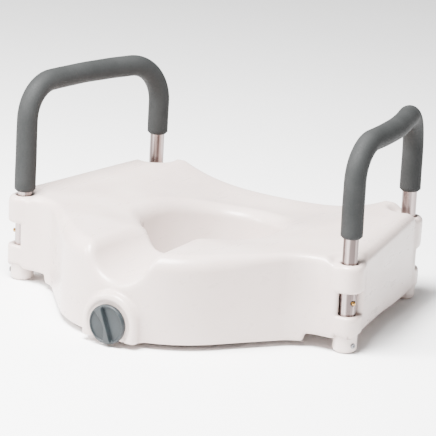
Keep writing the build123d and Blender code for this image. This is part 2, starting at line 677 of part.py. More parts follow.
with BuildPart() as spindle_bracket:
    with BuildSketch(Plane.XY.offset(RIM_PLANE - BRACKET_FOOT)):
        with Locations((0, BRACKET_Y)):
            RectangleRounded(*BRACKET_FOOT_SIZE)
    extrude(amount=BRACKET_FOOT)
    with BuildSketch(Plane.XY.offset(RIM_PLANE)):
        with Locations((0, BRACKET_Y)):
            Rectangle(2 * (CHANNEL_HALF - BRACKET_SIDE_GAP), BRACKET_THICK)
    extrude(amount=CHANNEL_TOP - RIM_PLANE - BRACKET_TOP_GAP)
    with BuildSketch(front_plane(BRACKET_Y + BRACKET_BORE / 2)):
        Circle(SPINDLE_RADIUS + RUNNING_FIT)
    extrude(amount=BRACKET_BORE, mode=Mode.SUBTRACT)
    with BuildSketch(Plane.XY.offset(RIM_PLANE - BRACKET_FOOT)):
        with Locations((BRACKET_SCREW_X, BRACKET_Y), (-BRACKET_SCREW_X, BRACKET_Y)):
            Circle(BRACKET_SCREW_SHANK + RUNNING_FIT)
    extrude(amount=BRACKET_FOOT, mode=Mode.SUBTRACT)
finish(spindle_bracket.part, "spindle_bracket")

for side, side_name in ((1, "right"), (-1, "left")):
    with BuildPart() as bracket_screw:
        with BuildSketch(Plane.XY.offset(RIM_PLANE - BRACKET_FOOT)):
            with Locations((side * BRACKET_SCREW_X, BRACKET_Y)):
                Circle(BRACKET_SCREW_SHANK)
        extrude(amount=BRACKET_FOOT)
        with BuildSketch(Plane.XY.offset(RIM_PLANE - BRACKET_FOOT - BRACKET_SCREW_RISE)):
            with Locations((side * BRACKET_SCREW_X, BRACKET_Y)):
                Circle(BRACKET_SCREW_HEAD)
        extrude(amount=BRACKET_SCREW_RISE)
        fillet(bracket_screw.edges().group_by(Axis.Z)[0], radius=BRACKET_SCREW_EDGE)
    finish(bracket_screw.part, "bracket_screw_" + side_name)

# ---- rubber pads on the underside ----
PAD_SIZE = (46.0, 22.0, 6.0)         # length, width and corner radius
PAD_THICK = 3.0
PAD_PLACES = {"front": (112.0, -108.0, 48.0), "rear": (140.0, 120.0, 100.0)}    # X, Y and turn in degrees

for side, side_name in ((1, "right"), (-1, "left")):
    for end, (pad_x, pad_y, turn) in PAD_PLACES.items():
        with BuildPart() as rim_pad:
            with BuildSketch(Plane.XY.offset(RIM_PLANE - PAD_THICK)):
                with Locations(Location((side * pad_x, pad_y), side * turn)):
                    RectangleRounded(*PAD_SIZE)
            extrude(amount=PAD_THICK)
        finish(rim_pad.part, "rim_pad_" + end + "_" + side_name)
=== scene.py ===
import json
import math

import bpy
import numpy as np
from mathutils import Matrix, Vector


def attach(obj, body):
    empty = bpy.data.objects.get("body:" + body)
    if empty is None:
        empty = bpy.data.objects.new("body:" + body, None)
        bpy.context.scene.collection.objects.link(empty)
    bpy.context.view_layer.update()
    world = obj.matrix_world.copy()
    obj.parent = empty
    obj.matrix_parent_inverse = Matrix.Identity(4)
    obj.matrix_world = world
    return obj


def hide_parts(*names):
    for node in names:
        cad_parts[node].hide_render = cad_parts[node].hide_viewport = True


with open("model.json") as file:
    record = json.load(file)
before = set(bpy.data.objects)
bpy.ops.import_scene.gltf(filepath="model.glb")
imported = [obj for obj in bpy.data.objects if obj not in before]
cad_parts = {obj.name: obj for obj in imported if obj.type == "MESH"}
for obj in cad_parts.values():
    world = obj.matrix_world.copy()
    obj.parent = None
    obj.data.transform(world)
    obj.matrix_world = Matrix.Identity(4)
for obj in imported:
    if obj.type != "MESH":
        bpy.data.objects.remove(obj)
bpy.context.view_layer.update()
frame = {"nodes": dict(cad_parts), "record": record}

# Looks of a raised toilet seat with padded arms. Shapes are worked out in millimetres, in the CAD frame:
# the front is -Y, +Z is up and the leg cups stand on Z = 0. Meshes are written in metres.

MM = 0.001

# ---- sizes repeated from the design ----
FRONT_LEG = (277.5, -52.0)
REAR_LEG = (223.0, 236.0)
ARM_SPAN = math.hypot(REAR_LEG[0] - FRONT_LEG[0], REAR_LEG[1] - FRONT_LEG[1])
ALONG = ((REAR_LEG[0] - FRONT_LEG[0]) / ARM_SPAN, (REAR_LEG[1] - FRONT_LEG[1]) / ARM_SPAN)
OUTWARD = (ALONG[1], -ALONG[0])
SADDLE = 133.0                 # height of the seat's top beside the lugs, and of the camera's aim
RIM_PLANE = 28.0
SKIRT_BOTTOM = 8.0
WING_BOTTOM = 20.0
KNOB_Z = 32.0
OPENING_CENTRE = 27.0

# plan of the body. A run is the pair of places where a change starts and ends.
VOXEL = 3.0
LOBE_FRONT = -236.0
LOBE_RADIUS = 170.0
LOBE_REAR = -45.0
FLANK_ANGLE = math.radians(50.5)
WING_FRONT = -72.5
REAR_FACE = 256.5
SIDE_FACE = 18.5               # from the legs' line out to the side wall
PLAN_CORNER = 18.0
SEAT_BOX = ((-306.0, -256.0, 2.0), (306.0, 266.0, 150.0))      # space that is searched for its surface
CREASE_FILLET = 22.0

# sitting surface
TOP_LEVEL = 137.0
TOP_CLIMB = 4.0                # towards the rear
CLIMB_RUN = (-60.0, 240.0)
REAR_DIP = 27.0
DIP_HALF_WIDTH = 178.0
DIP_RUN = (40.0, 215.0)
INNER_DIP = 8.0                # hollow round the opening
INNER_RING = (108.0, 135.0)    # half width and half length of its deepest line
INNER_SPREAD = 0.42
INNER_FADE = 0.85              # share of it that is gone beside the scoop
INNER_FADE_RUN = (-40.0, -110.0)
LUG_FALL = (5.0, 2.5)          # below the saddle, and further down towards the rear
LUG_FALL_RUN = (0.0, 200.0)
LUG_SHADOW = 22.5              # from the leg to where the fall to the lug is counted
LUG_BLEND = (-7.0, 13.0)
TOP_EDGE = (12.0, 12.0)        # rounding of the top edge, and what is added at the front
TOP_EDGE_RUN = (-90.0, -190.0)

# lower edge
SKIRT_RUN = (-66.0, -71.0)
SKIRT_SIDE_RUN = (218.0, 224.0)
SIDE_ARCH = 6.0                # rise of the side wall's lower edge between the legs
ARCH_START_RUN = (0.0, 25.0)
ARCH_END_RUN = (90.0, 220.0)
ARCH_DEPTH_RUN = (-15.0, 5.0)
BOTTOM_EDGE = 5.0

# boss
BOSS_RADIUS = 45.0
BOSS_FACE = -248.5
BOSS_BACK = -200.0
BOSS_EDGE = 7.0
BOSS_FOOT_EDGE = 4.0
BOSS_FILLET = 5.0
SEATING_RADIUS = 34.0          # shallow seating for the knob in the boss's face
SEATING_FLOOR = -245.8
SEATING_EDGE = 3.0
SPINDLE_BORES = ((12.7, -239.2), (8.7, -200.0))    # radius and rear end

# underside
POCKET_CENTRE = -20.0
POCKET_HALF_WIDTH = 178.0
POCKET_HALF_LENGTH = 190.0
POCKET_EDGE = 4.0
GUARD_OVAL = (99.5, 125.5)     # outside of the splash guard: half width and half length
CHANNEL_HALF = 17.2
CHANNEL_TOP = 48.2
CHANNEL_FRONT = -210.0
CHANNEL_REAR = -101.5

# scoop and opening
SCOOP_RADIUS = 50.0
SCOOP_FLOOR = 105.0            # its height at the scoop's back
SCOOP_BACK = -108.0
SCOOP_SLOPE = 0.115
SCOOP_FLARE = 0.3              # how much the sides lean out above the round bottom
SCOOP_END = -20.0
SCOOP_EDGE = 13.0
OPENING_BOTTOM = (91.5, 117.5)     # half width and half length at Z = 0
OPENING_GROWTH = (13.0, 14.0)      # what they gain over the opening's rise
OPENING_RISE = 140.0
OPENING_GROWTH_END = 1.1
EGG_SQUEEZE = 0.3
EGG_RUN = (10.0, -95.0)
LIP_LOW = 3.0
LIP_GROWTH = 19.0
LIP_RUN = (55.0, 112.0)
LIP_LOST_IN_SCOOP = 0.85
SCOOP_SIDE_RUN = (30.0, 62.0)
SCOOP_START_RUN = (-60.0, -80.0)

# corner lugs. Pairs are for the front and the rear.
LUG_HEIGHTS = ((27.0, 131.0), (21.0, 128.5))
LUG_LENGTH = 8.0               # how far a lug reaches along the side wall
LUG_RADIUS = 19.8
LUG_TAPER = 2.4
LUG_EDGE = 7.0
LUG_REACH = 60.0
LUG_FILLET = 5.0
WINDOWS = ((55.0, 90.0), (50.0, 80.0))             # heights of the gap between the two lugs
WINDOW_DEPTH = 9.5             # from the leg to the inner walls of the gap
WINDOW_CORNER = 4.0
WINDOW_REACH = 40.0
WINDOW_EDGES = (4.0, 7.0)
NECK_EDGE = 9.0
CUP_RECESS = 20.0
CUP_RECESS_EDGE = 2.0
BORE_RADIUS = 13.1
BORE_EDGE = 1.6

# knob. Depths are measured forwards, so they grow as Y falls.
KNOB_RADIUS = 28.9
KNOB_BACK = 246.5
KNOB_FACE = 253.8
KNOB_EDGE = 2.6
KNOB_BACK_EDGE = 1.0
DISH_RADIUS = 25.6
DISH_FLOOR = 251.6
DISH_EDGES = (1.2, 1.0)        # at its floor and at its mouth
GRIP_TILT = math.radians(20.0)
GRIP_SIDE = 1.0                # straight side of the grip bar, next to the groove
GRIP_WAIST = 3.5
GRIP_FLARE = 9.0
GRIP_HALF_LENGTH = 23.0
GRIP_FLARE_END = 1.2
GRIP_FLARE_POWER = 1.6
GRIP_SIDE_EDGE = 1.2
GRIP_REACH = 26.5
GRIP_REACH_EDGE = 2.0
GRIP_FACE = 257.7
GRIP_LEAN = 0.16
GRIP_FACE_EDGE = 1.3
GRIP_ROOT = 249.0
GRIP_FILLET = 0.8
GROOVE_CENTRE = 2.0
GROOVE_HALF = 1.0
GROOVE_HALF_LENGTH = 23.5
GROOVE_FLOOR = 250.2
GROOVE_EDGE = 0.5
HUB_RADIUS = 10.0
HUB_BACK = 243.0
HUB_FRONT = 248.0
HUB_EDGE = 0.6
KNOB_STEP = 0.7
KNOB_BOX = ((-31.0, -260.0, 1.0), (31.0, -241.0, 63.0))

# arms
BAR_FRONT = 300.1
BAR_REAR = 294.7
BAR_BOW = 16.0
BENDS = (54.0, 500.0, 64.0)
TUBE_RADIUS = 11.1
FOAM_RADIUS = 16.0
FOAM_ENDS = {"left": (137.0, 180.0), "right": (168.0, 168.0)}     # heights of the front and rear ends
FOAM_STEP = 3.0
FOAM_SIDES = 56
FOAM_END_ROUND = (3.0, 4.0)    # how far a rounded end draws in, and over what length
FOAM_BORE_GAP = 0.1
CREASE_DEPTH = 0.9
BEND_REACH = 3                 # points each way that a bend is measured over


# ---- distance fields ----
def ramp(low, high, value):
    """Smooth step from 0 at low to 1 at high."""
    t = np.clip((value - low) / (high - low), 0.0, 1.0)
    return t * t * (3.0 - 2.0 * t)


def cut_round(a, b, radius):
    """What is inside both a and b, with the edge between them rounded."""
    near_a = np.maximum(a + radius, 0.0)
    near_b = np.maximum(b + radius, 0.0)
    return np.minimum(np.maximum(a, b), -radius) + np.sqrt(near_a ** 2 + near_b ** 2)


def join_round(a, b, radius):
    """What is inside a or b, with a fillet in the corner between them."""
    near_a = np.maximum(radius - a, 0.0)
    near_b = np.maximum(radius - b, 0.0)
    return np.maximum(np.minimum(a, b), radius) - np.sqrt(near_a ** 2 + near_b ** 2)


def oval(x, y, half_width, half_length):
    """Distance to an ellipse about the origin."""
    first = np.sqrt((x / half_width) ** 2 + (y / half_length) ** 2) + 1e-6
    second = np.sqrt((x / half_width ** 2) ** 2 + (y / half_length ** 2) ** 2) + 1e-6
    return first * (first - 1.0) / second


def arm_axes(ax, y):
    """Distances along and outwards from the front leg, on the right half."""
    along = (ax - FRONT_LEG[0]) * ALONG[0] + (y - FRONT_LEG[1]) * ALONG[1]
    out = (ax - FRONT_LEG[0]) * OUTWARD[0] + (y - FRONT_LEG[1]) * OUTWARD[1]
    return along, out


def plan_distance(ax, y):
    """Distance to the body's plan: a block between the arms and a round lobe at the front."""
    _, out = arm_axes(ax, y)
    front = cut_round(WING_FRONT - y, out - SIDE_FACE, PLAN_CORNER)
    rear = cut_round(y - REAR_FACE, out - SIDE_FACE, PLAN_CORNER)
    block = np.maximum(front, rear)
    centre = LOBE_FRONT + LOBE_RADIUS
    nose = np.sqrt(ax ** 2 + (y - centre) ** 2) - LOBE_RADIUS
    shoulder = (LOBE_RADIUS * math.sin(FLANK_ANGLE), centre - LOBE_RADIUS * math.cos(FLANK_ANGLE))
    flank = (ax - shoulder[0]) * math.sin(FLANK_ANGLE) - (y - shoulder[1]) * math.cos(FLANK_ANGLE)
    ahead = ax * math.cos(FLANK_ANGLE) + (y - centre) * math.sin(FLANK_ANGLE) < 0
    lobe = np.maximum(np.where(ahead, nose, flank), y - LOBE_REAR)
    return join_round(block, lobe, CREASE_FILLET)


def top_height(ax, y, lug_gap):
    """Height of the sitting surface, which dips to the rear, to the opening and at the corner lugs."""
    level = TOP_LEVEL + TOP_CLIMB * ramp(*CLIMB_RUN, y)
    rear_dip = REAR_DIP * (1.0 - np.minimum(ax / DIP_HALF_WIDTH, 1.0) ** 3) * ramp(*DIP_RUN, y)
    ring = np.sqrt((ax / INNER_RING[0]) ** 2 + ((y - OPENING_CENTRE) / INNER_RING[1]) ** 2)
    left_over = 1.0 - INNER_FADE * ramp(*INNER_FADE_RUN, y)
    inner_dip = INNER_DIP * np.exp(-((ring - 1.0) / INNER_SPREAD) ** 2) * left_over
    height = level - rear_dip - inner_dip
    beside = SADDLE - LUG_FALL[0] - LUG_FALL[1] * ramp(*LUG_FALL_RUN, y)
    return beside + (height - beside) * ramp(*LUG_BLEND, lug_gap)


def bottom_height(ax, y, along, out):
    """Height of the lower edge: a skirt under the lobe, and a low arch in each side wall."""
    skirt = ramp(*SKIRT_RUN, y) * (1.0 - ramp(*SKIRT_SIDE_RUN, ax))
    bottom = WING_BOTTOM - (WING_BOTTOM - SKIRT_BOTTOM) * skirt
    arch = SIDE_ARCH * ramp(*ARCH_START_RUN, along) * (1.0 - ramp(*ARCH_END_RUN, along))
    return bottom + arch * ramp(*ARCH_DEPTH_RUN, out)


def add_boss(body, x, y, z):
    """Boss round the knob, with a shallow seating in its face and the bores for the spindle."""
    knob_reach = np.sqrt(x ** 2 + (z - KNOB_Z) ** 2)
    arch = np.where(z > KNOB_Z, knob_reach, np.abs(x)) - BOSS_RADIUS
    boss = cut_round(arch, BOSS_FACE - y, BOSS_EDGE)
    boss = cut_round(np.maximum(boss, y - BOSS_BACK), SKIRT_BOTTOM - z, BOSS_FOOT_EDGE)
    body = join_round(body, boss, BOSS_FILLET)
    body = cut_round(body, -np.maximum(knob_reach - SEATING_RADIUS, y - SEATING_FLOOR), SEATING_EDGE)
    for radius, rear_end in SPINDLE_BORES:
        body = np.maximum(body, -np.maximum(knob_reach - radius, y - rear_end))
    return body


def cut_underside(body, ax, y, z):
    """Pocket for the bowl's rim round a splash guard, and the spindle's channel."""
    round_front = oval(ax, y - POCKET_CENTRE, POCKET_HALF_WIDTH, POCKET_HALF_LENGTH)
    pocket = np.where(y > POCKET_CENTRE, ax - POCKET_HALF_WIDTH, round_front)
    guard = oval(ax, y - OPENING_CENTRE, *GUARD_OVAL)
    pocket = cut_round(np.maximum(pocket, -guard), z - RIM_PLANE, POCKET_EDGE)
    body = cut_round(body, -pocket, POCKET_EDGE)
    across = np.maximum(ax - CHANNEL_HALF, z - CHANNEL_TOP)
    lengthways = np.maximum(CHANNEL_FRONT - y, y - CHANNEL_REAR)
    return np.maximum(body, -np.maximum(across, lengthways))


def cut_opening(body, ax, y, z):
    """Front scoop, then the tapered egg-shaped opening with its rolled lip."""
    floor = SCOOP_FLOOR + (y - SCOOP_BACK) * SCOOP_SLOPE
    above = z - floor - SCOOP_RADIUS
    flare = SCOOP_FLARE * np.maximum(above, 0.0)
    sides = np.sqrt(ax ** 2 + np.minimum(above, 0.0) ** 2) - SCOOP_RADIUS - flare
    body = cut_round(body, -np.maximum(sides, y - SCOOP_END), SCOOP_EDGE)
    widen = np.clip(z / OPENING_RISE, 0.0, OPENING_GROWTH_END)
    half_width = OPENING_BOTTOM[0] + OPENING_GROWTH[0] * widen
    half_length = OPENING_BOTTOM[1] + OPENING_GROWTH[1] * widen
    squeeze = 1.0 - EGG_SQUEEZE * ramp(*EGG_RUN, y)
    hole = squeeze * oval(ax / squeeze, y - OPENING_CENTRE, half_width, half_length)
    in_scoop = (1.0 - ramp(*SCOOP_SIDE_RUN, ax)) * ramp(*SCOOP_START_RUN, y)
    lip = LIP_LOW + LIP_GROWTH * ramp(*LIP_RUN, z) * (1.0 - LIP_LOST_IN_SCOOP * in_scoop)
    return cut_round(body, -hole, lip)


def shape_corners(body, along, out, z):
    """Lugs at the four corners, the windows between them and the recesses for the cups."""
    inwards = np.minimum(along, ARM_SPAN - along)
    past_lug = np.maximum(np.maximum(-inwards, inwards - LUG_LENGTH), 0.0)
    beside_leg = np.sqrt(past_lug ** 2 + out ** 2)
    for end in (0, 1):
        here = ARM_SPAN - along if end else along
        bottom, top = LUG_HEIGHTS[end]
        column = beside_leg - LUG_RADIUS - LUG_TAPER * ramp(bottom, top, z)
        column = cut_round(column, np.abs(z - (bottom + top) / 2) - (top - bottom) / 2, LUG_EDGE)
        body = join_round(body, np.maximum(column, here - LUG_REACH), LUG_FILLET)
        low, high = WINDOWS[end]
        gap = cut_round(here - WINDOW_DEPTH, -WINDOW_DEPTH - out, WINDOW_CORNER)
        neck = cut_round(body, -gap, NECK_EDGE)
        level = np.abs(z - (low + high) / 2) - (high - low) / 2
        lugs = cut_round(body, -np.maximum(level, here - WINDOW_REACH), WINDOW_EDGES[end])
        body = np.minimum(lugs, neck)
        recess = np.maximum(np.sqrt(here ** 2 + out ** 2) - CUP_RECESS, z - bottom)
        body = cut_round(body, -recess, CUP_RECESS_EDGE)
    return body


def seat_distance(x, y, z):
    """Distance to the blow-moulded seat body."""
    ax = np.abs(x)
    along, out = arm_axes(ax, y)
    to_leg = np.sqrt(np.minimum(along, ARM_SPAN - along) ** 2 + out ** 2)
    top_edge = TOP_EDGE[0] + TOP_EDGE[1] * ramp(*TOP_EDGE_RUN, y)
    body = cut_round(plan_distance(ax, y), z - top_height(ax, y, to_leg - LUG_SHADOW), top_edge)
    body = cut_round(body, bottom_height(ax, y, along, out) - z, BOTTOM_EDGE)
    body = add_boss(body, x, y, z)
    body = cut_underside(body, ax, y, z)
    body = cut_opening(body, ax, y, z)
    body = shape_corners(body, along, out, z)
    return cut_round(body, BORE_RADIUS - to_leg, BORE_EDGE)


def knob_distance(x, y, z):
    """Distance to the lock knob: a dished disc with a pinched grip bar and a groove across it."""
    up = z - KNOB_Z
    depth = -y
    reach = np.sqrt(x ** 2 + up ** 2)
    disc = cut_round(reach - KNOB_RADIUS, depth - KNOB_FACE, KNOB_EDGE)
    disc = cut_round(disc, KNOB_BACK - depth, KNOB_BACK_EDGE)
    dish = cut_round(reach - DISH_RADIUS, DISH_FLOOR - depth, DISH_EDGES[0])
    disc = cut_round(disc, -dish, DISH_EDGES[1])
    length = up * math.cos(GRIP_TILT) - x * math.sin(GRIP_TILT)
    across = x * math.cos(GRIP_TILT) + up * math.sin(GRIP_TILT)
    from_waist = np.minimum(np.abs(length) / GRIP_HALF_LENGTH, GRIP_FLARE_END)
    flare = GRIP_WAIST + GRIP_FLARE * from_waist ** GRIP_FLARE_POWER
    bar = cut_round(across - GRIP_SIDE, -flare - across, GRIP_SIDE_EDGE)
    bar = cut_round(bar, reach - GRIP_REACH, GRIP_REACH_EDGE)
    bar = cut_round(bar, depth - GRIP_FACE + GRIP_LEAN * (GRIP_SIDE - across), GRIP_FACE_EDGE)
    bar = np.maximum(bar, GRIP_ROOT - depth)
    knob = join_round(disc, bar, GRIP_FILLET)
    groove = np.maximum(np.abs(across - GROOVE_CENTRE) - GROOVE_HALF, np.abs(length) - GROOVE_HALF_LENGTH)
    knob = cut_round(knob, -np.maximum(groove, GROOVE_FLOOR - depth), GROOVE_EDGE)
    hub = cut_round(reach - HUB_RADIUS, HUB_BACK - depth, HUB_EDGE)
    return np.minimum(knob, np.maximum(hub, depth - HUB_FRONT))


# ---- meshing ----
SETTLE_ROUNDS = 3
SETTLE_SHARE = 0.6             # longest move in a round, as a share of the grid's step
LEAST_SLOPE = 0.25             # keeps moves short where a field is flat


def surface_net(field, low, step):
    """Points and quads where a sampled field crosses zero."""
    inside = field < 0
    sizes = np.array(field.shape)
    count = np.zeros(sizes - 1, np.int8)
    for corner in np.ndindex(2, 2, 2):
        part = tuple(slice(c, n - 1 + c) for c, n in zip(corner, sizes))
        count += inside[part]
    active = (count > 0) & (count < 8)
    cells = np.argwhere(active)
    number = np.full(active.shape, -1, np.int64)
    number[active] = np.arange(len(cells))
    total = np.zeros((len(cells), 3))
    hits = np.zeros(len(cells))
    quads = []
    for axis in range(3):
        second, third = (axis + 1) % 3, (axis + 2) % 3
        unit = np.eye(3, dtype=int)[axis]
        for a, b in np.ndindex(2, 2):
            start = np.zeros(3, int)
            start[second], start[third] = a, b
            near = field[tuple((cells + start).T)]
            far = field[tuple((cells + start + unit).T)]
            crossing = (near < 0) != (far < 0)
            share = np.where(crossing, near / np.where(crossing, near - far, 1.0), 0.0)
            total += np.where(crossing[:, None], start + share[:, None] * unit, 0.0)
            hits += crossing
        before = inside.take(range(sizes[axis] - 1), axis)
        after = inside.take(range(1, sizes[axis]), axis)
        edges = np.argwhere(before != after)
        edges = edges[(edges[:, second] > 0) & (edges[:, third] > 0)]
        edges = edges[(edges[:, second] < sizes[second] - 1) & (edges[:, third] < sizes[third] - 1)]
        around = []
        for a, b in ((1, 1), (0, 1), (0, 0), (1, 0)):
            shift = np.zeros(3, int)
            shift[second], shift[third] = a, b
            around.append(number[tuple((edges - shift).T)])
        around = np.stack(around, 1)
        outward = inside[tuple(edges.T)]
        around[~outward] = around[~outward][:, ::-1]
        quads.append(around)
    points = low + step * (cells + total / hits[:, None])
    return points, np.concatenate(quads)


def settle(points, distance, reach):
    """Move points on to the exact surface, in a few short steps."""
    nudge = 0.2
    for _ in range(SETTLE_ROUNDS):
        x, y, z = points.T
        value = distance(x, y, z)
        slope = np.stack([distance(x + nudge, y, z) - distance(x - nudge, y, z),
                          distance(x, y + nudge, z) - distance(x, y - nudge, z),
                          distance(x, y, z + nudge) - distance(x, y, z - nudge)], 1) / (2 * nudge)
        size = np.maximum((slope ** 2).sum(1), LEAST_SLOPE)
        move = -(value / size)[:, None] * slope
        length = np.maximum(np.sqrt((move ** 2).sum(1)), 1e-9)
        points = points + move * np.minimum(1.0, reach / length)[:, None]
    return points


def solid_from_field(name, distance, low, high, step):
    """Smooth-shaded object whose surface is where the distance is zero."""
    axes = [np.arange(a, b + step, step) for a, b in zip(low, high)]
    x, y, z = (axes[0][:, None, None], axes[1][None, :, None], axes[2][None, None, :])
    points, quads = surface_net(distance(x, y, z) + np.zeros((1, 1, 1)), np.array(low), step)
    points = settle(points, distance, step * SETTLE_SHARE)
    return make_object(name, points * MM, quads)


def make_object(name, points, quads):
    """Mesh object from arrays of points in metres and quads."""
    mesh = bpy.data.meshes.new(name)
    mesh.vertices.add(len(points))
    mesh.vertices.foreach_set("co", np.asarray(points, np.float32).ravel())
    mesh.loops.add(quads.size)
    mesh.loops.foreach_set("vertex_index", quads.astype(np.int32).ravel())
    mesh.polygons.add(len(quads))
    mesh.polygons.foreach_set("loop_start", np.arange(len(quads), dtype=np.int32) * 4)
    mesh.update(calc_edges=True)
    mesh.validate()
    mesh.polygons.foreach_set("use_smooth", np.ones(len(mesh.polygons), bool))
    obj = bpy.data.objects.new(name, mesh)
    bpy.context.scene.collection.objects.link(obj)
    return obj


def point_normals_out(obj):
    """Turn a closed piece's faces outwards."""
    bpy.context.view_layer.objects.active = obj
    obj.select_set(True)
    bpy.ops.object.mode_set(mode="EDIT")
    bpy.ops.mesh.select_all(action="SELECT")
    bpy.ops.mesh.normals_make_consistent(inside=False)
    bpy.ops.object.mode_set(mode="OBJECT")
    obj.select_set(False)


# ---- material nodes ----
class Shader:
    """A node material being put together."""

    def __init__(self, name, **values):
        self.material = bpy.data.materials.new(name)
        self.material.use_nodes = True
        self.nodes = self.material.node_tree.nodes
        self.links = self.material.node_tree.links
        self.shader = self.nodes["Principled BSDF"]
        self.place = self.nodes.new("ShaderNodeTexCoord").outputs["Object"]
        for socket, value in values.items():
            self.shader.inputs[socket.replace("_", " ")].default_value = value

    def noise(self, scale, detail=3.0, stretch=(1, 1, 1), rough=0.5):
        """Noise in object space. A stretch below 1 draws the pattern out along that axis."""
        mapping = self.nodes.new("ShaderNodeMapping")
        mapping.inputs["Scale"].default_value = stretch
        self.links.new(self.place, mapping.inputs["Vector"])
        texture = self.nodes.new("ShaderNodeTexNoise")
        texture.inputs["Scale"].default_value = scale
        texture.inputs["Detail"].default_value = detail
        texture.inputs["Roughness"].default_value = rough
        self.links.new(mapping.outputs["Vector"], texture.inputs["Vector"])
        return texture.outputs["Fac"]

    def mapped(self, value, low, high, start=0.3, end=0.7):
        """Value moved from the range start..end to low..high."""
        node = self.nodes.new("ShaderNodeMapRange")
        for socket, number in zip(("From Min", "From Max", "To Min", "To Max"), (start, end, low, high)):
            node.inputs[socket].default_value = number
        self.links.new(value, node.inputs["Value"])
        return node.outputs["Result"]

    def mixed(self, factor, first, second):
        """Colour between two colours."""
        node = self.nodes.new("ShaderNodeMix")
        node.data_type = "RGBA"
        node.inputs[6].default_value = (*first, 1.0)
        node.inputs[7].default_value = (*second, 1.0)
        self.links.new(factor, node.inputs[0])
        return node.outputs[2]

    def bump(self, *layers):
        """Bump from (height, strength, distance in metres) layers."""
        normal = None
        for height, strength, distance in layers:
            node = self.nodes.new("ShaderNodeBump")
            node.inputs["Strength"].default_value = strength
            node.inputs["Distance"].default_value = distance
            self.links.new(height, node.inputs["Height"])
            if normal is not None:
                self.links.new(normal, node.inputs["Normal"])
            normal = node.outputs["Normal"]
        self.links.new(normal, self.shader.inputs["Normal"])

    def feed(self, socket, value):
        """Drive a socket of the shader."""
        self.links.new(value, self.shader.inputs[socket])


def moulded_white():
    """Satin blow-moulded polyethylene, with soft waviness, a fine grain and faint scuffs."""
    m = Shader("moulded_white", IOR=1.5)
    waves = m.noise(14.0, 2.0)
    grain = m.noise(900.0, 2.0)
    scuffs = m.noise(55.0, 6.0, (1.0, 0.25, 1.0), 0.7)
    dark, light = (0.54, 0.445, 0.41), (0.58, 0.49, 0.455)
    m.feed("Base Color", m.mixed(m.mapped(waves, 0.0, 1.0), dark, light))
    m.feed("Roughness", m.mapped(scuffs, 0.25, 0.35))
    m.bump((waves, 0.12, 0.006), (grain, 0.08, 0.0003))
    m.shader.inputs["Subsurface Weight"].default_value = 0.06
    m.shader.inputs["Subsurface Radius"].default_value = (0.012, 0.009, 0.008)
    return m.material


def cup_white():
    """Injection-moulded white plastic, a little smoother than the body."""
    m = Shader("cup_white", IOR=1.5)
    tone = m.noise(60.0, 2.0)
    dark, light = (0.58, 0.49, 0.455), (0.62, 0.535, 0.50)
    m.feed("Base Color", m.mixed(m.mapped(tone, 0.0, 1.0), dark, light))
    m.feed("Roughness", m.mapped(m.noise(300.0), 0.30, 0.42))
    m.bump((m.noise(1200.0), 0.06, 0.0002))
    return m.material


def drawn_aluminium():
    """Drawn tube, with lines along its length, a clear anodised sheen and painted reflection streaks along
    its length in the colour.
    """
    m = Shader("drawn_aluminium", Metallic=1.0)
    lines = m.noise(900.0, 3.0, (1.0, 1.0, 0.015), 0.6)
    painted_reflection_bands = m.noise(170.0, 1.0, (1.0, 1.0, 0.02))
    stains = m.noise(30.0, 4.0)
    # painted reflection: dark and light colours, spread as streaks along the tube's length, stand in for
    # reflections of the surroundings
    dark, light = (0.10, 0.078, 0.075), (0.36, 0.30, 0.29)
    m.feed("Base Color", m.mixed(m.mapped(painted_reflection_bands, 0.0, 1.0, 0.38, 0.62), dark, light))
    m.feed("Roughness", m.mapped(stains, 0.24, 0.36))
    m.bump((lines, 0.15, 0.0002))
    m.shader.inputs["Anisotropic"].default_value = 0.5
    return m.material


def closed_cell_foam():
    """Grey closed-cell foam with a matte skin, pores and handling marks."""
    m = Shader("closed_cell_foam", IOR=1.3)
    cells = m.noise(1600.0, 2.0)
    pores = m.noise(420.0, 4.0, (1, 1, 1), 0.65)
    marks = m.noise(26.0, 4.0)
    dark, light = (0.015, 0.016, 0.016), (0.020, 0.021, 0.021)
    m.feed("Base Color", m.mixed(m.mapped(marks, 0.0, 1.0, 0.35, 0.65), dark, light))
    m.feed("Roughness", m.mapped(pores, 0.62, 0.82))
    m.bump((pores, 0.22, 0.0005), (cells, 0.25, 0.00025))
    return m.material


def knob_plastic():
    """Blue-grey moulded plastic with a fine spark texture."""
    m = Shader("knob_plastic", IOR=1.5)
    spark = m.noise(1500.0, 2.0)
    tone = m.noise(90.0, 3.0)
    dark, light = (0.017, 0.021, 0.023), (0.023, 0.028, 0.031)
    m.feed("Base Color", m.mixed(m.mapped(tone, 0.0, 1.0), dark, light))
    m.feed("Roughness", m.mapped(tone, 0.36, 0.46))
    m.bump((spark, 0.12, 0.0002))
    m.shader.inputs["Specular IOR Level"].default_value = 0.25
    return m.material


def plain_metal(name, dark, light, rough, scale):
    """Small metal part with turning marks and tarnish."""
    m = Shader(name, Metallic=1.0)
    tarnish = m.noise(scale, 4.0)
    m.feed("Base Color", m.mixed(m.mapped(tarnish, 0.0, 1.0), dark, light))
    m.feed("Roughness", m.mapped(tarnish, rough + 0.12, rough))
    m.bump((m.noise(2500.0), 0.1, 0.0001))
    return m.material


def soft_rubber():
    """Dark grey pad rubber."""
    m = Shader("soft_rubber", IOR=1.5)
    dust = m.noise(120.0, 4.0)
    dark, light = (0.030, 0.030, 0.031), (0.060, 0.060, 0.060)
    m.feed("Base Color", m.mixed(m.mapped(dust, 0.0, 1.0), dark, light))
    m.feed("Roughness", m.mapped(dust, 0.6, 0.8))
    m.bump((m.noise(1400.0), 0.3, 0.0003))
    return m.material


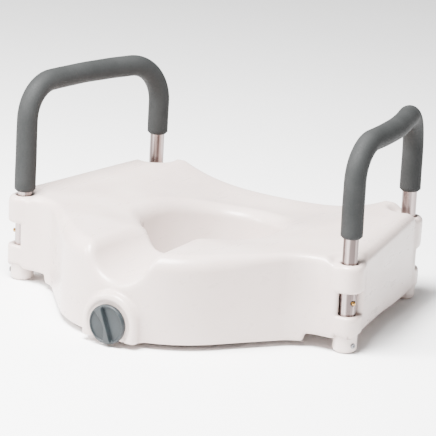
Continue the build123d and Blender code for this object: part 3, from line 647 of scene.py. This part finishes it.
def natural_nylon():
    """Slightly yellow nylon of the hidden clamp parts."""
    m = Shader("natural_nylon", IOR=1.53)
    tone = m.noise(80.0, 3.0)
    dark, light = (0.62, 0.60, 0.53), (0.70, 0.68, 0.62)
    m.feed("Base Color", m.mixed(m.mapped(tone, 0.0, 1.0), dark, light))
    m.feed("Roughness", m.mapped(tone, 0.40, 0.52))
    m.bump((m.noise(1100.0), 0.1, 0.0002))
    return m.material


MATERIALS = {
    "body": moulded_white(),
    "cup": cup_white(),
    "tube": drawn_aluminium(),
    "foam": closed_cell_foam(),
    "knob": knob_plastic(),
    "brass": plain_metal("brass", (0.22, 0.12, 0.035), (0.48, 0.29, 0.10), 0.18, 300.0),
    "steel": plain_metal("zinc_steel", (0.10, 0.10, 0.105), (0.26, 0.26, 0.27), 0.22, 250.0),
    "pad": soft_rubber(),
    "nylon": natural_nylon(),
}


def dress_nodes():
    """Give each CAD node the material of its slot."""
    slots = {entry["node"]: entry["material_slot"] for entry in frame["record"]["subparts"]}
    for name, node in frame["nodes"].items():
        for place in node.material_slots:
            place.material = MATERIALS[slots[name]]


def add_piece(obj, body, node, slot):
    """Put a finished piece on its body in place of a CAD node."""
    obj.data.materials.append(MATERIALS[slot])
    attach(obj, body)
    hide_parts(node)


# ---- foam grips ----
def arm_point(side, along, height, bow=0.0):
    """Point of an arm, in millimetres. Side is +1 right or -1 left."""
    x = FRONT_LEG[0] + ALONG[0] * along + OUTWARD[0] * bow
    y = FRONT_LEG[1] + ALONG[1] * along + OUTWARD[1] * bow
    return Vector((side * x, y, height))


def arm_line(side, front_end, rear_end, step):
    """Points along the centre line of one arm, its corners turned into arcs."""
    corners = [arm_point(side, 0, front_end), arm_point(side, 0, BAR_FRONT),
               arm_point(side, ARM_SPAN / 2, (BAR_FRONT + BAR_REAR) / 2, BAR_BOW),
               arm_point(side, ARM_SPAN, BAR_REAR), arm_point(side, ARM_SPAN, rear_end)]
    points = [corners[0]]
    for before, corner, after, radius in zip(corners, corners[1:], corners[2:], BENDS):
        back = (before - corner).normalized()
        ahead = (after - corner).normalized()
        half = back.angle(ahead) / 2
        reach = radius / math.tan(half)
        centre = corner + (back + ahead).normalized() * (radius / math.sin(half))
        start = corner + back * reach - centre
        turn = math.pi - 2 * half
        axis = start.cross(corner + ahead * reach - centre).normalized()
        straight = centre + start - points[-1]
        pieces = max(2, int(straight.length / step))
        points += [points[-1] + straight * (i / pieces) for i in range(1, pieces)]
        slices = max(3, int(radius * turn / step))
        points += [centre + Matrix.Rotation(turn * i / slices, 3, axis) @ start for i in range(slices + 1)]
    straight = corners[-1] - points[-1]
    pieces = max(2, int(straight.length / step))
    points += [points[-1] + straight * (i / pieces) for i in range(1, pieces + 1)]
    return points


def end_ring(centre, ring):
    """Ring just outside the tube, which closes the foam's end."""
    return [centre + (corner - centre).normalized() * (TUBE_RADIUS + FOAM_BORE_GAP) for corner in ring]


def foam_grip(side_name):
    """Foam sleeve with rounded ends, slight unevenness and creases inside its bends."""
    side = 1 if side_name == "right" else -1
    line = arm_line(side, *FOAM_ENDS[side_name], FOAM_STEP)
    turns = FOAM_SIDES
    total = len(line)
    rings = []
    across = Vector((side * OUTWARD[0], OUTWARD[1], 0.0))
    for number, point in enumerate(line):
        heading = (line[min(number + 1, total - 1)] - line[max(number - 1, 0)]).normalized()
        sideways = (across - heading * across.dot(heading)).normalized()
        inward = heading.cross(sideways) * -side
        before = (line[max(number - BEND_REACH, 0)] - line[number]).normalized()
        after = (line[min(number + BEND_REACH, total - 1)] - line[number]).normalized()
        bend = (before + after).length if BEND_REACH <= number < total - BEND_REACH else 0.0
        hollow = (before + after).normalized() if bend > 1e-3 else inward
        from_end = min(number, total - 1 - number) * FOAM_STEP
        drawn_in, over = FOAM_END_ROUND
        radius = FOAM_RADIUS - drawn_in * (1.0 - math.sqrt(1.0 - (1.0 - min(from_end / over, 1.0)) ** 2))
        ring = []
        for turn in range(turns):
            angle = 2 * math.pi * turn / turns
            spoke = sideways * math.cos(angle) + inward * math.sin(angle)
            facing = max(spoke.dot(hollow), 0.0)
            crease = CREASE_DEPTH * bend * facing ** 2 * math.sin(number * 1.9 + 0.4 * math.sin(angle * 3))
            wander = 0.14 * math.sin(number * 0.11 + angle * 2 + side) + 0.1 * math.sin(number * 0.31 - angle)
            ring.append(point + spoke * (radius + crease + wander))
        rings.append(ring)
    rings = [end_ring(line[0], rings[0])] + rings + [end_ring(line[-1], rings[-1])]
    points = np.array([corner for ring in rings for corner in ring]) * MM
    quads = []
    for row in range(len(rings) - 1):
        for turn in range(turns):
            beside = (turn + 1) % turns
            quads.append((row * turns + turn, row * turns + beside,
                          (row + 1) * turns + beside, (row + 1) * turns + turn))
    return make_object("foam_" + side_name, points, np.array(quads))


# ---- rubber pads ----
RUBBER_THICK = 3.0
RIB_PITCH = 4.6
RIB_HALF_DEPTH = 0.35
RIM_PAD_SIZE = (46.0, 22.0, 6.0)       # length, width and corner radius
JAW_PAD_SIZE = (70.0, 16.0, 4.0)
RIM_PADS = {"front": (112.0, -108.0, 48.0), "rear": (140.0, 120.0, 100.0)}     # X, Y and turn in degrees
JAW_PAD_CENTRE = (0.0, -156.5, 13.0)
RIB_FADE_RUN = (-1.5, -3.0)    # from the pad's outline inwards
RIB_EDGE = 0.9
PAD_BACK_EDGE = 0.3
PAD_STEP = 0.5
PAD_MARGIN = 1.0               # searched beyond the pad


def pad_distance(u, v, w, length, width, corner):
    """Distance to a flat pad with rounded edges whose ribs face +w."""
    past_u = np.abs(u) - length / 2 + corner
    past_v = np.abs(v) - width / 2 + corner
    plan = np.sqrt(np.maximum(past_u, 0.0) ** 2 + np.maximum(past_v, 0.0) ** 2)
    plan = plan + np.minimum(np.maximum(past_u, past_v), 0.0) - corner
    ribs = RIB_HALF_DEPTH * (1.0 - np.cos(2.0 * math.pi * u / RIB_PITCH)) * ramp(*RIB_FADE_RUN, plan)
    face = w - RUBBER_THICK / 2 + ribs
    return cut_round(cut_round(plan, face, RIB_EDGE), -w - RUBBER_THICK / 2, PAD_BACK_EDGE)


def rubber_pad(body, node, centre, along, across, size):
    """Ribbed rubber pad in place of its CAD solid. Its ribs face the way of along x across."""
    def distance(u, v, w):
        return pad_distance(u, v, w, *size)

    reach = [extent / 2 + PAD_MARGIN for extent in (size[0], size[1], RUBBER_THICK)]
    pad = solid_from_field(node + "_moulding", distance, [-r for r in reach], reach, PAD_STEP)
    along, across = Vector(along), Vector(across)
    turn = Matrix((along, across, along.cross(across))).transposed().to_4x4()
    pad.data.transform(Matrix.Translation(Vector(centre) * MM) @ turn)
    add_piece(pad, body, node, "pad")


def rim_pads():
    """The four pads that rest on the bowl's rim, with their ribs facing down."""
    for side, side_name in ((1, "right"), (-1, "left")):
        for end, (x, y, turn) in RIM_PADS.items():
            angle = math.radians(side * turn)
            along = (math.cos(angle), math.sin(angle), 0.0)
            across = (math.sin(angle), -math.cos(angle), 0.0)
            centre = (side * x, y, RIM_PLANE - RUBBER_THICK / 2)
            rubber_pad("seat", "rim_pad_" + end + "_" + side_name, centre, along, across, RIM_PAD_SIZE)


# ---- studio ----
def place_camera():
    """Long lens from the front right, a little above the seat."""
    turn, rise, roll = math.radians(29.731), math.radians(15.747), math.radians(2.960)
    distance = 4661.6
    shift_right, shift_up = 21.45, 18.17
    back = Vector((math.sin(turn) * math.cos(rise), -math.cos(turn) * math.cos(rise), math.sin(rise)))
    level = Vector((math.cos(turn), math.sin(turn), 0.0))
    above = back.cross(level)
    right = level * math.cos(roll) + above * math.sin(roll)
    up = above * math.cos(roll) - level * math.sin(roll)
    target = Vector((0.0, 92.0, SADDLE))
    data = bpy.data.cameras.new("camera")
    data.sensor_width = 36.0
    data.lens = 256.7
    data.clip_end = 50.0
    camera = bpy.data.objects.new("camera", data)
    bpy.context.scene.collection.objects.link(camera)
    spot = (target + back * distance - right * shift_right - up * shift_up) * MM
    camera.matrix_world = Matrix.Translation(spot) @ Matrix((right, up, back)).transposed().to_4x4()
    bpy.context.scene.camera = camera


def area_light(name, spot, aim, size, power, colour=(1.0, 1.0, 1.0)):
    """Soft light that points from one place to another."""
    data = bpy.data.lights.new(name, "AREA")
    data.shape = "DISK"
    data.size = size
    data.energy = power
    data.color = colour
    light = bpy.data.objects.new(name, data)
    light.location = spot
    light.rotation_euler = (Vector(aim) - Vector(spot)).to_track_quat("-Z", "Y").to_euler()
    bpy.context.scene.collection.objects.link(light)


def build_studio():
    """Pale floor, even white surroundings and two soft lights."""
    world = bpy.data.worlds.new("studio")
    world.use_nodes = True
    world.node_tree.nodes["Background"].inputs["Color"].default_value = (1.0, 0.99, 0.985, 1.0)
    world.node_tree.nodes["Background"].inputs["Strength"].default_value = 0.47
    bpy.context.scene.world = world
    reach = 6.0
    points = np.array([(-reach, -reach, 0), (reach, -reach, 0), (reach, reach, 0), (-reach, reach, 0)])
    floor = make_object("floor", points, np.array([(0, 1, 2, 3)]))
    paper = Shader("paper", Roughness=0.9)
    tone = paper.mapped(paper.noise(3.0), 0.0, 1.0)
    paper.feed("Base Color", paper.mixed(tone, (0.88, 0.88, 0.88), (0.9, 0.9, 0.9)))
    floor.data.materials.append(paper.material)
    area_light("key", (-1.6, -1.3, 1.3), (0, 0, 0.1), 1.0, 105.0, (1.0, 0.98, 0.96))
    area_light("top", (-0.1, -0.75, 2.1), (0, 0, 0.1), 1.2, 385.0)


# ---- the object ----
place_camera()
dress_nodes()

seat = solid_from_field("seat_shell", seat_distance, *SEAT_BOX, VOXEL)
add_piece(seat, "seat", "seat_body", "body")

knob = solid_from_field("knob_shell", knob_distance, *KNOB_BOX, KNOB_STEP)
add_piece(knob, "lock", "lock_knob", "knob")

for side_name in ("left", "right"):
    grip = foam_grip(side_name)
    point_normals_out(grip)
    add_piece(grip, side_name + "_arm", "foam_grip_" + side_name, "foam")

rim_pads()
rubber_pad("jaw", "jaw_pad", JAW_PAD_CENTRE, (1.0, 0.0, 0.0), (0.0, 0.0, 1.0), JAW_PAD_SIZE)

build_studio()
